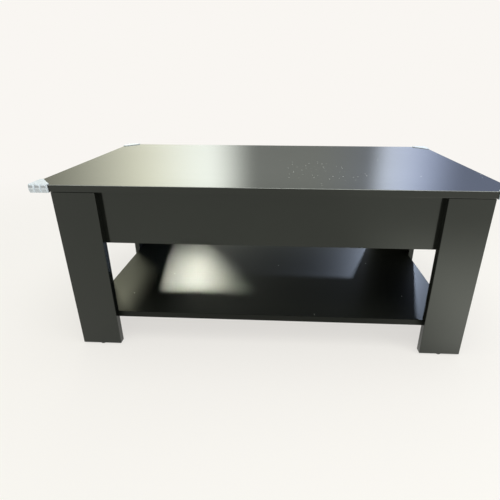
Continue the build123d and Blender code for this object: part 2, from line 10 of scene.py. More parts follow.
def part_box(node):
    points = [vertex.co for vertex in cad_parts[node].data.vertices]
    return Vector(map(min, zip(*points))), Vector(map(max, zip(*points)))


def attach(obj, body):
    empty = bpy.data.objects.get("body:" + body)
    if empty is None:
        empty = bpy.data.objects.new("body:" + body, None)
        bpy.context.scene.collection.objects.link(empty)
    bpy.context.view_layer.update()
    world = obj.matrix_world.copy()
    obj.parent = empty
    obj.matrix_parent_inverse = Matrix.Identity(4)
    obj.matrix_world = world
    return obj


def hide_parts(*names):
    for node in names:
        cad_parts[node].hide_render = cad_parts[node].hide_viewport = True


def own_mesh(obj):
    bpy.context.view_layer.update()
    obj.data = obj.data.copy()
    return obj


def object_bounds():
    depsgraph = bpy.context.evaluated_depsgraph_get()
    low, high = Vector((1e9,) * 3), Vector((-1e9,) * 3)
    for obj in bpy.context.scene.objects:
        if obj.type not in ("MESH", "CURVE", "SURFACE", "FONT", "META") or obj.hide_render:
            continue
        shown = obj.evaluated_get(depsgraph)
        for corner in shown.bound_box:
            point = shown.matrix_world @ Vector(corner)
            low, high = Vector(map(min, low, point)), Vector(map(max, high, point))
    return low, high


bl_info = {
    "name": "Lift Top Coffee Table",
    "version": (1, 0, 0),
    "blender": (4, 5, 0),
    "location": "View3D > Sidebar > Coffee Table",
    "description": "Dresses the packed coffee table with its finishes, springs, screws and studio",
    "category": "Object",
}

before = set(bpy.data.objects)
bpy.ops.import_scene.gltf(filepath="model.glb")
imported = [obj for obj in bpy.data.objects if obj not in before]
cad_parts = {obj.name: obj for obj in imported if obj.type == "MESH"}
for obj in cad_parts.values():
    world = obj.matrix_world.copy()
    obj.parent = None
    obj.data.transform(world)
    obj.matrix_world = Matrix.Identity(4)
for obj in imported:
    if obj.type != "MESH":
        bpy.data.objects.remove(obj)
cad_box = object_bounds()

SIDES = ((-1, "left"), (1, "right"))
DEPTHS = ("front", "rear")
CORNERS = [f"{depth}_{side}" for depth in DEPTHS for _, side in SIDES]
PHOTO_SIZE = 500


# Shader trees

class Value:
    """A socket that Python expressions build on: each operator adds one Math node."""

    def __init__(self, shader, socket):
        self.shader = shader
        self.socket = socket

    def other(self, output):
        """Another output of the same node."""
        return Value(self.shader, self.socket.node.outputs[output])

    def __add__(self, value):
        return self.shader.math("ADD", self, value)

    def __radd__(self, value):
        return self.shader.math("ADD", value, self)

    def __sub__(self, value):
        return self.shader.math("SUBTRACT", self, value)

    def __rsub__(self, value):
        return self.shader.math("SUBTRACT", value, self)

    def __mul__(self, value):
        return self.shader.math("MULTIPLY", self, value)

    def __rmul__(self, value):
        return self.shader.math("MULTIPLY", value, self)

    def __lt__(self, value):
        return self.shader.math("LESS_THAN", self, value)

    def __gt__(self, value):
        return self.shader.math("GREATER_THAN", self, value)


class Shader:
    """A node tree under construction."""

    def __init__(self, tree):
        self.tree = tree
        tree.nodes.clear()

    def node(self, kind, settings=None, inputs=None, output=0):
        """Adds a node: its settings first, then the values or links of its sockets. Gives one output."""
        node = self.tree.nodes.new("ShaderNode" + kind)
        for name, value in (settings or {}).items():
            setattr(node, name, value)
        for name, value in (inputs or {}).items():
            if isinstance(value, Value):
                self.tree.links.new(value.socket, node.inputs[name])
            else:
                node.inputs[name].default_value = value
        return Value(self, node.outputs[output]) if node.outputs else None

    def place(self, scale=(1, 1, 1)):
        """The place on the object, in metres, stretched where a pattern needs it."""
        coordinates = self.node("TexCoord", output="Object")
        return self.node("Mapping", {}, {"Vector": coordinates, "Scale": scale})

    def noise(self, where, scale, detail=2.0, roughness=0.5):
        """Soft noise from 0 to 1, with this many lumps to the metre."""
        return self.node(
            "TexNoise", {}, {"Vector": where, "Scale": scale, "Detail": detail, "Roughness": roughness}
        )

    def ramp(self, value, low, high, start=0.0, end=1.0):
        """A smooth step of a value from one level to another."""
        return self.node(
            "MapRange",
            {"interpolation_type": "SMOOTHSTEP"},
            {"Value": value, "From Min": low, "From Max": high, "To Min": start, "To Max": end},
        )

    def mix(self, factor, first, second):
        """One colour into another."""
        return self.node("Mix", {"data_type": "RGBA"}, {"Factor": factor, 6: first, 7: second}, output=2)

    def shades(self, factor, colour, dark, light):
        """One colour, from a darker to a lighter shade of it."""
        return self.mix(factor, tinted(colour, dark), tinted(colour, light))

    def split(self, vector):
        """The three parts of a vector."""
        first = self.node("SeparateXYZ", {}, {"Vector": vector})
        return [first.other(axis) for axis in "XYZ"]

    def facing(self):
        """The three parts of the way that the surface looks."""
        return self.split(self.node("NewGeometry", output="Normal"))

    def math(self, operation, *values):
        """One Math node on these values."""
        return self.node("Math", {"operation": operation}, dict(enumerate(values)))

    def size(self, value):
        """A value without its sign."""
        return self.math("ABSOLUTE", value)

    def bump(self, height, strength, distance):
        """A normal that follows a height."""
        return self.node("Bump", {}, {"Height": height, "Strength": strength, "Distance": distance})

    def output(self, kind, surface):
        """The end of the tree."""
        self.node("Output" + kind, {}, {"Surface": surface})


def rgba(colour):
    """A colour with full cover."""
    return (*colour, 1.0)


def tinted(colour, amount):
    """A colour made lighter or darker."""
    return rgba([min(1.0, channel * amount) for channel in colour])


def start_finish(name):
    """A new material and its empty shader."""
    material = bpy.data.materials.new(name)
    material.use_nodes = True
    return material, Shader(material.node_tree)


def close_finish(material, shader, **sockets):
    """Ends a material in one Principled shader."""
    inputs = {name.replace("_", " "): value for name, value in sockets.items()}
    shader.output("Material", shader.node("BsdfPrincipled", {}, inputs))
    return material


# Finishes

def make_black_melamine(finish, name, roughness, specular=0.5):
    """Satin black melamine: a fine pearl, wiped streaks, clouds in the gloss, a little dust on top and a
    painted highlight along the top's front edge.
    """
    material, shader = start_finish(name)
    place = shader.place()
    clouds = shader.noise(place, 7.0, detail=3.0)
    streaks = shader.noise(shader.place((3.0, 60.0, 60.0)), 1.0)
    pearl = shader.noise(place, 1.0 / finish.pearl_size, roughness=0.6)
    dust = make_dust(shader, place, finish)
    board = shader.shades(shader.ramp(clouds, 0.3, 0.7), finish.melamine, 0.85, 1.15)
    # Painted highlight: a paler colour along the top's front edge stands in for a lamp's highlight on its
    # bevel
    board = shader.mix(find_front_arris(shader, place), board, rgba(finish.arris_highlight))
    gloss = roughness + (clouds - 0.5) * 0.03 + (streaks - 0.5) * 0.02 + dust * 0.4
    return close_finish(
        material,
        shader,
        Base_Color=shader.mix(dust, board, rgba(finish.dust)),
        Roughness=gloss,
        Specular_IOR_Level=specular,
        Specular_Tint=rgba(finish.melamine_sheen),
        Normal=shader.bump(pearl, finish.pearl_strength, finish.pearl_size * 0.1),
    )


def find_front_arris(shader, place):
    """1 on the top's front edge, whose bevel looks both up and to the front: where the painted highlight
    goes.
    """
    slope = 0.25
    _, faces_back, faces_up = shader.facing()
    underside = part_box("lift_top_panel")[0].z
    return (faces_back < -slope) * (faces_up > slope) * (shader.split(place)[2] > underside)


def make_dust(shader, place, finish):
    """Loose specks on faces that look up: thick round one spot, rare elsewhere."""
    speck = shader.node(
        "TexVoronoi",
        {"feature": "F1", "voronoi_dimensions": "2D"},
        {"Vector": place, "Scale": 1.0 / finish.dust_spacing},
        output="Distance",
    )
    chance, width, _ = shader.split(speck.other("Color"))
    away = shader.node(
        "VectorMath", {"operation": "DISTANCE"}, {0: place, 1: finish.dust_centre}, output="Value"
    )
    bare_share, bare_share_far = 0.8, 0.998
    needed = shader.ramp(away, finish.dust_reach * 0.3, finish.dust_reach, bare_share, bare_share_far)
    upward = shader.facing()[2] > 0.9
    smallest, spread = 0.4, 1.2
    radius = finish.dust_radius * (smallest + spread * width)
    return (speck < radius) * (chance > needed) * upward


def make_guard_plastic(finish):
    """Cool white moulded plastic: cloudy grey pads between white ribs on the walls, a white plate on top. The
    pads' grey is partly the black board seen through the plastic and partly painted shade, darker towards the
    top under the plate.
    """
    material, shader = start_finish("guard_plastic")
    place = shader.place()
    clouds = shader.noise(place, 60.0, detail=3.0)
    grain = shader.noise(place, 2500.0, detail=1.0)
    low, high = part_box("corner_guard_front_left")
    panel_low, panel_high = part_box("lift_top_panel")
    across, deep, height = shader.split(place)
    faces_end, faces_front, faces_up = [shader.size(part) for part in shader.facing()]
    wall = shader.ramp(faces_up, 0.35, 0.6, 1.0, 0.0)
    along_front = (shader.size(across) + low.x) * (faces_front > faces_end)
    along_end = (shader.size(deep) + low.y) * (faces_end > faces_front)
    pitch = (high.x - low.x) / finish.guard_pads
    within = shader.math("PINGPONG", along_front + along_end, pitch / 2)
    pad = shader.ramp(shader.size(within), pitch * 0.06, pitch * 0.2)
    middle = (panel_low.z + panel_high.z) / 2
    rib, rib_foot = 0.0004, 0.0016
    rows = shader.ramp(shader.size(height - middle), rib, rib_foot)
    below = height < panel_high.z
    # Painted shade on the pads: lighter low on the wall, darker up under the top plate
    lit = shader.ramp(height, panel_low.z, high.z, 0.9, 0.2)
    shell = shader.shades(clouds, finish.guard, 0.93, 1.04)
    shaded_pad = shader.shades(lit, finish.guard_pad_colour_and_shade, 1.0, 1.8)
    return close_finish(
        material,
        shader,
        Base_Color=shader.mix(wall * pad * rows * below, shell, shaded_pad),
        Roughness=0.25 + clouds * 0.12,
        Normal=shader.bump(grain, 0.06, 0.0001),
    )


def make_powder_coat(finish):
    """Black powder coat on pressed steel: an even orange peel, a little worn in the gloss."""
    material, shader = start_finish("powder_coat")
    place = shader.place()
    peel = shader.noise(place, 900.0)
    wear = shader.noise(place, 40.0, detail=4.0)
    return close_finish(
        material,
        shader,
        Base_Color=shader.shades(wear, finish.powder_coat, 0.8, 1.3),
        Roughness=0.38 + wear * 0.16,
        Normal=shader.bump(peel, 0.25, 0.0002),
    )


def make_metal(name, colour, roughness):
    """Plated or drawn steel, with fine scratches and clouds in its gloss."""
    material, shader = start_finish(name)
    place = shader.place()
    clouds = shader.noise(place, 180.0, detail=4.0)
    scratches = shader.noise(shader.place((4000.0, 300.0, 300.0)), 1.0, detail=1.0)
    return close_finish(
        material,
        shader,
        Base_Color=shader.shades(clouds, colour, 0.8, 1.1),
        Metallic=1.0,
        Roughness=roughness + (clouds - 0.5) * 0.2,
        Normal=shader.bump(scratches, 0.08, 0.0001),
    )


def make_moulded(name, colour, roughness, transmission=0.0):
    """Small moulded plastic or rubber, with a fine grain."""
    material, shader = start_finish(name)
    place = shader.place()
    clouds = shader.noise(place, 120.0, detail=3.0)
    grain = shader.noise(place, 3000.0, detail=1.0)
    return close_finish(
        material,
        shader,
        Base_Color=shader.shades(clouds, colour, 0.88, 1.08),
        Roughness=roughness + (clouds - 0.5) * 0.15,
        Transmission_Weight=transmission,
        Normal=shader.bump(grain, 0.1, 0.0001),
    )


def make_beech(finish):
    """Beech dowels: pale brown with fine dark flecks along the grain."""
    material, shader = start_finish("beech")
    rings = shader.noise(shader.place((40.0, 400.0, 400.0)), 1.0, detail=4.0)
    flecks = shader.noise(shader.place((250.0, 2200.0, 2200.0)), 1.0)
    grain = rings * 0.6 + flecks * 0.4
    return close_finish(
        material,
        shader,
        Base_Color=shader.shades(grain, finish.beech, 0.7, 1.2),
        Roughness=0.6 + grain * 0.15,
        Normal=shader.bump(grain, 0.15, 0.0002),
    )


def dress(material, *nodes):
    """Gives CAD nodes a finish in place of their plain one."""
    for name in nodes:
        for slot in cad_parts[name].material_slots:
            slot.material = material


# Modelling by hand

def begin():
    """Leaves nothing selected, so that the next operators touch only the new piece."""
    if bpy.context.object and bpy.context.object.mode != "OBJECT":
        bpy.ops.object.mode_set(mode="OBJECT")
    bpy.ops.object.select_all(action="DESELECT")


def join(pieces, name):
    """Makes several pieces one, with its place in its mesh."""
    begin()
    for piece in pieces:
        piece.select_set(True)
    bpy.context.view_layer.objects.active = pieces[0]
    bpy.ops.object.join()
    pieces[0].name = name
    settle(pieces[0])
    return pieces[0]


def settle(piece):
    """Puts a finished piece's place, turn and size into its mesh."""
    bpy.ops.object.select_all(action="DESELECT")
    piece.select_set(True)
    bpy.context.view_layer.objects.active = piece
    bpy.ops.object.transform_apply(location=True, rotation=True, scale=True)


def cover(piece, material):
    """Gives a new piece its one finish."""
    piece.data.materials.clear()
    piece.data.materials.append(material)


def hand_over(piece, body, node):
    """Lets a piece ride on its body in place of a CAD node."""
    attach(piece, body)
    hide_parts(node)


def combine(piece, operation, tool):
    """Cuts a piece with a tool or unites the two, and takes the tool away."""
    boolean = piece.modifiers.new("combine", "BOOLEAN")
    boolean.operation = operation
    boolean.object = tool
    boolean.solver = "EXACT"
    bpy.context.view_layer.objects.active = piece
    bpy.ops.object.modifier_apply(modifier=boolean.name)
    bpy.data.objects.remove(tool)


def pick(piece, wanted):
    """Selects the faces of a piece, in edit mode, whose centre and normal are wanted."""
    bpy.ops.mesh.select_all(action="DESELECT")
    bpy.ops.object.mode_set(mode="OBJECT")
    for face in piece.data.polygons:
        face.select = wanted(face.center, face.normal)
    bpy.ops.object.mode_set(mode="EDIT")
    bpy.ops.mesh.select_mode(type="FACE")


# Sizes and colours that a user would change

class TableFinish(bpy.types.PropertyGroup):
    """Colours and gloss of the table's finishes."""

    melamine: FloatVectorProperty(
        name="Melamine", description="Colour of the boards", subtype="COLOR", default=(0.0045, 0.0050, 0.0038)
    )
    melamine_roughness: FloatProperty(
        name="Melamine roughness", description="Gloss of the boards", subtype="FACTOR", default=0.16
    )
    shelf_roughness: FloatProperty(
        name="Shelf roughness", description="Gloss of the lower shelf", subtype="FACTOR", default=0.42
    )
    shelf_specular: FloatProperty(
        name="Shelf specular", description="Strength of the lower shelf's gloss", subtype="FACTOR",
        default=0.18,
    )
    # The colour of a painted highlight along the top's front edge
    arris_highlight: FloatVectorProperty(
        name="Arris", description="Colour of the top's rubbed front edge", subtype="COLOR",
        default=(0.40, 0.41, 0.40),
    )
    melamine_sheen: FloatVectorProperty(
        name="Melamine sheen", description="Tint of the boards' straight-on gloss", subtype="COLOR",
        default=(0.93, 1.0, 0.90),
    )
    pearl_size: FloatProperty(
        name="Pearl size", description="Size of the fine pearl in the boards", unit="LENGTH", default=0.003
    )
    pearl_strength: FloatProperty(
        name="Pearl strength", description="Depth of the pearl", subtype="FACTOR", default=0.12
    )
    dust: FloatVectorProperty(
        name="Dust", description="Colour of the dust specks", subtype="COLOR", default=(0.70, 0.72, 0.68)
    )
    dust_centre: FloatVectorProperty(
        name="Dust centre", description="Where the dust lies thickest", subtype="XYZ", unit="LENGTH",
        default=(0.115, -0.088, cad_box[1].z),
    )
    dust_reach: FloatProperty(
        name="Dust reach", description="How far the thick dust reaches", unit="LENGTH", default=0.15
    )
    dust_spacing: FloatProperty(
        name="Dust spacing", description="Typical distance between specks", unit="LENGTH", default=0.011
    )
    dust_radius: FloatProperty(
        name="Dust radius", description="Size of a speck as a share of the spacing", subtype="FACTOR",
        default=0.065,
    )
    guard: FloatVectorProperty(
        name="Guards", description="Colour of the corner guards", subtype="COLOR", default=(0.78, 0.84, 0.91)
    )
    # The pads' colour is partly the black board through the plastic and partly painted shade
    guard_pad_colour_and_shade: FloatVectorProperty(
        name="Guard pad colour", description="Colour of the guards' cloudy pads", subtype="COLOR",
        default=(0.34, 0.36, 0.39),
    )
    guard_pads: IntProperty(name="Guard pads", description="Pads on each wall of a guard", default=3)
    powder_coat: FloatVectorProperty(
        name="Powder coat", description="Colour of the lift's plates and arms", subtype="COLOR",
        default=(0.016, 0.016, 0.017),
    )
    zinc: FloatVectorProperty(
        name="Zinc", description="Colour of the plated fittings", subtype="COLOR", default=(0.60, 0.61, 0.63)
    )
    spring_steel: FloatVectorProperty(
        name="Spring steel", description="Colour of the springs", subtype="COLOR", default=(0.40, 0.40, 0.41)
    )
    nylon: FloatVectorProperty(
        name="Nylon", description="Colour of the washers", subtype="COLOR", default=(0.70, 0.68, 0.62)
    )
    glide: FloatVectorProperty(
        name="Glides", description="Colour of the foot glides", subtype="COLOR", default=(0.018, 0.018, 0.018)
    )
    bumper: FloatVectorProperty(
        name="Bumpers", description="Colour of the clear bumpers", subtype="COLOR", default=(0.70, 0.72, 0.70)
    )
    beech: FloatVectorProperty(
        name="Beech", description="Colour of the dowels", subtype="COLOR", default=(0.50, 0.34, 0.19)
    )


class SpringSizes(bpy.types.PropertyGroup):
    """Sizes of the lift's two springs."""

    turns: IntProperty(name="Turns", description="Turns of the coil", default=24)
    wire_radius: FloatProperty(
        name="Wire radius", description="Half the wire's thickness", unit="LENGTH", default=0.0011
    )
    coil_radius: FloatProperty(
        name="Coil radius", description="From the axis to the middle of the wire", unit="LENGTH",
        default=0.0062,
    )
    hook_radius: FloatProperty(
        name="Hook radius", description="From the stud to the middle of the hook", unit="LENGTH",
        default=0.0047,
    )
    hook_bearing: FloatProperty(
        name="Hook bearing", description="From the stud's middle to the open spring's hook", unit="LENGTH",
        default=0.0032,
    )
    hook_run: FloatProperty(
        name="Hook run", description="Straight wire between hook and coil", unit="LENGTH", default=0.0075
    )


class ScrewSizes(bpy.types.PropertyGroup):
    """Sizes of the bracket screws."""

    head_radius: FloatProperty(
        name="Head radius", description="Half the head's width", unit="LENGTH", default=0.004
    )
    head_height: FloatProperty(
        name="Head height", description="Height of the head", unit="LENGTH", default=0.0022
    )
    shank_radius: FloatProperty(
        name="Shank radius", description="Half the shank's width", unit="LENGTH", default=0.002
    )
    recess_length: FloatProperty(
        name="Recess length", description="Length of the cross recess", unit="LENGTH", default=0.0044
    )
    recess_width: FloatProperty(
        name="Recess width", description="Width of the cross recess", unit="LENGTH", default=0.0010
    )
    recess_depth: FloatProperty(
        name="Recess depth", description="Depth of the cross recess", unit="LENGTH", default=0.0014
    )


class StudioSetup(bpy.types.PropertyGroup):
    """Floor, light and camera."""

    backdrop: FloatVectorProperty(
        name="Backdrop", description="Colour of floor and backdrop", subtype="COLOR",
        default=(0.947, 0.922, 0.888),
    )
    floor_radius: FloatProperty(
        name="Floor radius", description="Reach of the floor", unit="LENGTH", default=40.0
    )
    shadow_radius: FloatProperty(
        name="Shadow radius", description="Reach of the shadow on the floor", unit="LENGTH", default=2.2
    )
    shadow_depth: FloatProperty(
        name="Shadow depth", description="Share of lit floor that the camera sees", subtype="FACTOR",
        default=0.3,
    )
    floor_sheen: FloatProperty(
        name="Floor sheen", description="Extra brightness of the floor's right side in reflections",
        default=2.5,
    )
    top_light: FloatProperty(
        name="Top light", description="Power of the soft light overhead", unit="POWER", default=21.0
    )
    side_light: FloatProperty(
        name="Side light", description="Power of the soft light on the right", unit="POWER", default=3.0
    )
    left_shelf_light: FloatProperty(
        name="Left shelf light", description="Power of the light behind the shelf's left half",
        unit="POWER", default=0.5,
    )
    right_shelf_light: FloatProperty(
        name="Right shelf light", description="Power of the light behind the shelf's right half",
        unit="POWER", default=20.0,
    )
    shelf_end_light: FloatProperty(
        name="Shelf end light", description="Power of the soft light past the shelf's left end",
        unit="POWER", default=15.0,
    )
    camera_place: FloatVectorProperty(
        name="Camera place", description="Where the camera stands", subtype="XYZ", unit="LENGTH",
        default=(0.02683, -0.88537, 0.60510),
    )
    camera_yaw: FloatProperty(
        name="Yaw", description="Turn to the right", subtype="ANGLE", default=-0.04188
    )
    camera_pitch: FloatProperty(
        name="Pitch", description="Tilt down", subtype="ANGLE", default=0.35023
    )
    camera_roll: FloatProperty(
        name="Roll", description="Lean of the camera", subtype="ANGLE", default=0.0025
    )
    focal_pixels: FloatProperty(
        name="Focal length", description="Focal length in pixels of the photograph", default=338.8
    )
    centre_x: FloatProperty(
        name="Centre across", description="Pixel of the optical axis, from the left", default=267.815
    )
    centre_y: FloatProperty(
        name="Centre down", description="Pixel of the optical axis, from the top", default=205.08
    )


# Operators

class TABLE_OT_dress_boards(bpy.types.Operator):
    """Gives the top, legs, box and shelf their black melamine"""

    bl_idname = "table.dress_boards"
    bl_label = "Dress Boards"

    def execute(self, context):
        finish = context.scene.table_finish
        melamine = make_black_melamine(finish, "black_melamine", finish.melamine_roughness)
        dress(melamine, "lift_top_panel", "front_panel", "back_panel", "compartment_floor")
        dress(melamine, *[f"end_rail_{side}" for _, side in SIDES])
        dress(melamine, *[f"leg_{half}_{corner}" for half in ("face", "side") for corner in CORNERS])
        shelf = make_black_melamine(finish, "shelf_melamine", finish.shelf_roughness, finish.shelf_specular)
        dress(shelf, "lower_shelf")
        return {"FINISHED"}


class TABLE_OT_dress_guards(bpy.types.Operator):
    """Gives the corner guards their cool white plastic"""

    bl_idname = "table.dress_guards"
    bl_label = "Dress Corner Guards"

    def execute(self, context):
        plastic = make_guard_plastic(context.scene.table_finish)
        dress(plastic, *[f"corner_guard_{corner}" for corner in CORNERS])
        return {"FINISHED"}


class TABLE_OT_dress_lift(bpy.types.Operator):
    """Gives the lift's plates, arms, rivets and washers their finishes"""

    bl_idname = "table.dress_lift"
    bl_label = "Dress Lift"

    def execute(self, context):
        finish = context.scene.table_finish
        plates = ("base_bracket", "rear_arm", "front_arm", "top_bracket")
        dress(make_powder_coat(finish), *[f"{plate}_{side}" for plate in plates for _, side in SIDES])
        zinc = make_metal("lift_zinc", finish.zinc, roughness=0.3)
        dress(zinc, "base_pivots", "top_pivots", "front_spacers", "stop_pins", "arm_studs", "base_studs")
        dress(make_moulded("nylon", finish.nylon, roughness=0.5), "base_washers", "top_washers")
        return {"FINISHED"}


class TABLE_OT_dress_fittings(bpy.types.Operator):
    """Gives cams, bolts, dowels, glides and bumpers their finishes"""

    bl_idname = "table.dress_fittings"
    bl_label = "Dress Fittings"

    def execute(self, context):
        finish = context.scene.table_finish
        dress(make_metal("fitting_zinc", finish.zinc, roughness=0.36), "cam_locks", "cam_bolts")
        dress(make_beech(finish), "wood_dowels")
        dress(make_moulded("glide_plastic", finish.glide, roughness=0.5), "foot_glides")
        bumper = make_moulded("clear_bumper", finish.bumper, roughness=0.3, transmission=0.6)
        dress(bumper, "top_bumpers")
        return {"FINISHED"}


class TABLE_OT_model_springs(bpy.types.Operator):
    """Winds the lift's two springs, each one wire with a hook at both ends"""

    bl_idname = "table.model_springs"
    bl_label = "Model Springs"

    def execute(self, context):
        steel = make_metal("spring_steel", context.scene.table_finish.spring_steel, roughness=0.3)
        wires = join([self.wind(context, sx) for sx, _ in SIDES], "lift_spring_wires")
        bpy.ops.object.shade_smooth()
        cover(wires, steel)
        hand_over(wires, "carcass", "lift_springs")
        self.squash_with_lift(wires)
        return {"FINISHED"}

    def studs(self, sx):
        """The middles of the hooks: on the arm's stud and on the bracket's stud."""
        sizes = bpy.context.scene.table_springs
        low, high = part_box("lift_springs")
        reach = sizes.hook_radius + sizes.wire_radius
        x = high.x - sizes.coil_radius - sizes.wire_radius
        z = (low.z + high.z) / 2
        return Vector((sx * x, low.y + reach, z)), Vector((sx * x, high.y - reach, z))

    def route(self, sx):
        """The points of one wire, from the tip of one hook round the coil to the tip of the other."""
        sizes = bpy.context.scene.table_springs
        near, far = self.studs(sx)
        span = far.y - near.y
        coil_start = sizes.hook_run + sizes.coil_radius
        pitch = (span - 2 * coil_start) / (sizes.turns + 0.5)
        steps = 12
        radius = self.outset(sizes.coil_radius, 2 * pi / steps)
        coil = []
        for step in range(int((sizes.turns + 0.5) * steps) + 1):
            angle = 2 * pi * step / steps
            along = coil_start + pitch * step / steps
            coil.append((along, -radius * sin(angle), radius * cos(angle)))
        hook = self.hook(sizes)
        local = [*hook, *coil]
        local += [(span - along, up, -across) for along, up, across in reversed(hook)]
        return [Vector((near.x - sx * across, near.y + along, near.z + up)) for along, up, across in local]

    def outset(self, radius, angle):
        """How far out points at this angle apart stand, for the smooth line between them to keep a radius."""
        return radius * 3 / (2 + cos(angle))

    def hook(self, sizes):
        """A hook round its stud, from the tip to the bend into the coil: along, up and across."""
        step = pi / 4
        radius = self.outset(sizes.hook_radius, step)
        angles = [1.5 * pi - index * step for index in range(5)]
        tip = (sizes.hook_run, -sizes.hook_radius, 0)
        arc = [(radius * cos(angle), radius * sin(angle), 0) for angle in angles]
        rise = 1.02 * sizes.hook_radius
        leaving = (0.6 * sizes.hook_run, rise, 0)
        bend = (sizes.hook_run + 0.55 * sizes.coil_radius, rise, 0.62 * sizes.coil_radius)
        return [tip, *arc, leaving, bend]

    def wind(self, context, sx):
        """One spring as a mesh: a smooth line through its route, given the wire's thickness."""
        sizes = context.scene.table_springs
        begin()
        line = bpy.data.curves.new("spring_line", "CURVE")
        line.dimensions = "3D"
        line.bevel_depth = sizes.wire_radius
        line.bevel_resolution = 2
        line.resolution_u = 3
        line.use_fill_caps = True
        points = self.route(sx)
        spline = line.splines.new("NURBS")
        spline.points.add(len(points) - 1)
        for point, place in zip(spline.points, points):
            point.co = (*place, 1.0)
        spline.order_u = 4
        spline.use_endpoint_u = True
        spring = bpy.data.objects.new("spring", line)
        context.collection.objects.link(spring)
        spring.select_set(True)
        context.view_layer.objects.active = spring
        bpy.ops.object.convert(target="MESH")
        return context.object

    def squash_with_lift(self, wires):
        """Gives the wires a mesh of their own."""
        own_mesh(wires)


class TABLE_OT_model_screws(bpy.types.Operator):
    """Models the bracket screws, with rounded heads and a cross recess"""

    bl_idname = "table.model_screws"
    bl_label = "Model Screws"

    # Each node's body, its screws on one side, and whether their heads look up or down
    rows = {
        "base_bracket_screws": ("carcass", 3, 1),
        "top_bracket_screws": ("lift_top", 4, -1),
    }

    def execute(self, context):
        zinc = make_metal("screw_zinc", context.scene.table_finish.zinc, roughness=0.25)
        pattern = self.model_one(context)
        for node, (body, count, way) in self.rows.items():
            screws = self.set_row(context, pattern, node, count, way)
            cover(screws, zinc)
            hand_over(screws, body, node)
        bpy.data.objects.remove(pattern)
        return {"FINISHED"}

    def model_one(self, context):
        """One screw, standing on the origin with its head up."""
        sizes = context.scene.table_screws
        low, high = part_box("base_bracket_screws")
        shank_length = high.z - low.z - sizes.head_height
        point_length = 0.2 * shank_length
        begin()
        bpy.ops.mesh.primitive_cylinder_add(
            vertices=32,
            radius=sizes.head_radius,
            depth=sizes.head_height,
            location=(0, 0, sizes.head_height / 2),
        )
        screw = context.object
        settle(screw)
        bpy.ops.object.mode_set(mode="EDIT")
        pick(screw, lambda centre, normal: normal.z > 0.9)
        bpy.ops.mesh.bevel(offset=sizes.head_height * 0.55, segments=5, profile=0.55, affect="EDGES")
        pick(screw, lambda centre, normal: normal.z < -0.9)
        bpy.ops.mesh.inset(thickness=sizes.head_radius - sizes.shank_radius)
        for length in (shank_length - point_length, point_length):
            bpy.ops.mesh.extrude_region_move(TRANSFORM_OT_translate={"value": (0, 0, -length)})
        bpy.ops.transform.resize(value=(0.15, 0.15, 1))
        bpy.ops.object.mode_set(mode="OBJECT")
        combine(screw, "DIFFERENCE", self.model_recess(context))
        return screw

    def model_recess(self, context):
        """The cross that the head's recess is cut with: two tapered bars."""
        sizes = context.scene.table_screws
        top = sizes.head_height * 1.2
        bottom = sizes.head_height - sizes.recess_depth
        bars = []
        for turn in (0, pi / 2):
            begin()
            middle = (0, 0, (top + bottom) / 2)
            bpy.ops.mesh.primitive_cube_add(size=1, location=middle, rotation=(0, 0, turn))
            bar = context.object
            bar.scale = (sizes.recess_length, sizes.recess_width, top - bottom)
            settle(bar)
            bpy.ops.object.mode_set(mode="EDIT")
            pick(bar, lambda centre, normal: normal.z < -0.9)
            bpy.ops.transform.resize(value=(0.5, 0.5, 1), center_override=(0, 0, bottom))
            bpy.ops.object.mode_set(mode="OBJECT")
            bars.append(bar)
        combine(bars[0], "UNION", bars[1])
        return bars[0]

    def set_row(self, context, pattern, node, count, way):
        """Copies of one screw along both sides, each turned by its own last twist of the driver."""
        sizes = context.scene.table_screws
        low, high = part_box(node)
        first, last = low.y + sizes.head_radius, high.y - sizes.head_radius
        seat = high.z - sizes.head_height if way > 0 else low.z + sizes.head_height
        copies = []
        for sx, _ in SIDES:
            for index in range(count):
                copy = pattern.copy()
                copy.data = pattern.data.copy()
                context.collection.objects.link(copy)
                y = first + (last - first) * index / (count - 1)
                twist = 0.7 * index + 0.4 * sx
                copy.location = (sx * (high.x - sizes.head_radius), y, seat)
                copy.rotation_euler = (0 if way > 0 else pi, 0, twist)
                copies.append(copy)
        screws = join(copies, node.replace("screws", "cross_screws"))
        bpy.ops.object.shade_smooth_by_angle(angle=radians(35))
        return screws


# Studio, in metres and degrees, with brightness as a share of white

# Where reflections see a painted glow on the floor: from far in front up to the table, and on its right
SHEEN_START, SHEEN_END = (-1.1, -0.35), (-0.3, -0.15)
SHEEN_FAR = 0.08
SHEEN_ACROSS = (0.25, 0.6)

# Walls that the gloss mirrors: bearings to the right of straight behind, and heights above the horizon
LEFT_WINDOW, LEFT_LEVEL = (-40, -12, -13, -4), 2.1
RIGHT_WINDOW, RIGHT_LEVEL = (14, 18, 19, 29), 1.2
WALL_LEVEL = 0.45
WINDOW_FOOT, WINDOW_LEVELS = (9, 18), (0.78, 1.85)
WINDOW_HEAD, DIM_LEVEL = (20, 25), 0.05
CEILING, CEILING_DEPTH, CEILING_LEVELS = (36, 58), (-0.1, 0.3), (0.7, 1.4)
FRONT_DEPTH, FRONT_LEVEL = (-0.2, 0.2), 0.65
WALL_TINT = (0.96, 1.0, 0.92)
WARM_TINT, WARM_BEARINGS = (1.0, 1.0, 0.80), (-25, -12)
COOL_TINT, COOL_BEARINGS = (0.74, 0.86, 1.22), (4, 28)

# Each light's place, the point it is aimed at, its width, its colour and the angle of its beam
LIGHTS = {
    "top_light": ((0.2, -0.5, 2.4), (0, 0, 0), 2.0, (1, 1, 1), 180),
    "side_light": ((1.25, -0.75, 0.75), (0.8, -0.6, 0), 0.6, (1, 1, 1), 180),
    "left_shelf_light": ((-0.57, 1.4, 0.87), (-0.22, -0.34, 0.086), 0.06, (1.0, 1.0, 0.86), 15),
    "right_shelf_light": ((0.86, 1.35, 1.02), (0, -0.1, 0.1), 0.06, (0.74, 0.86, 1.15), 180),
    "shelf_end_light": ((-0.97, 0.72, 1.16), (-0.45, -0.12, 0.1), 0.3, (1.0, 0.97, 0.74), 180),
}


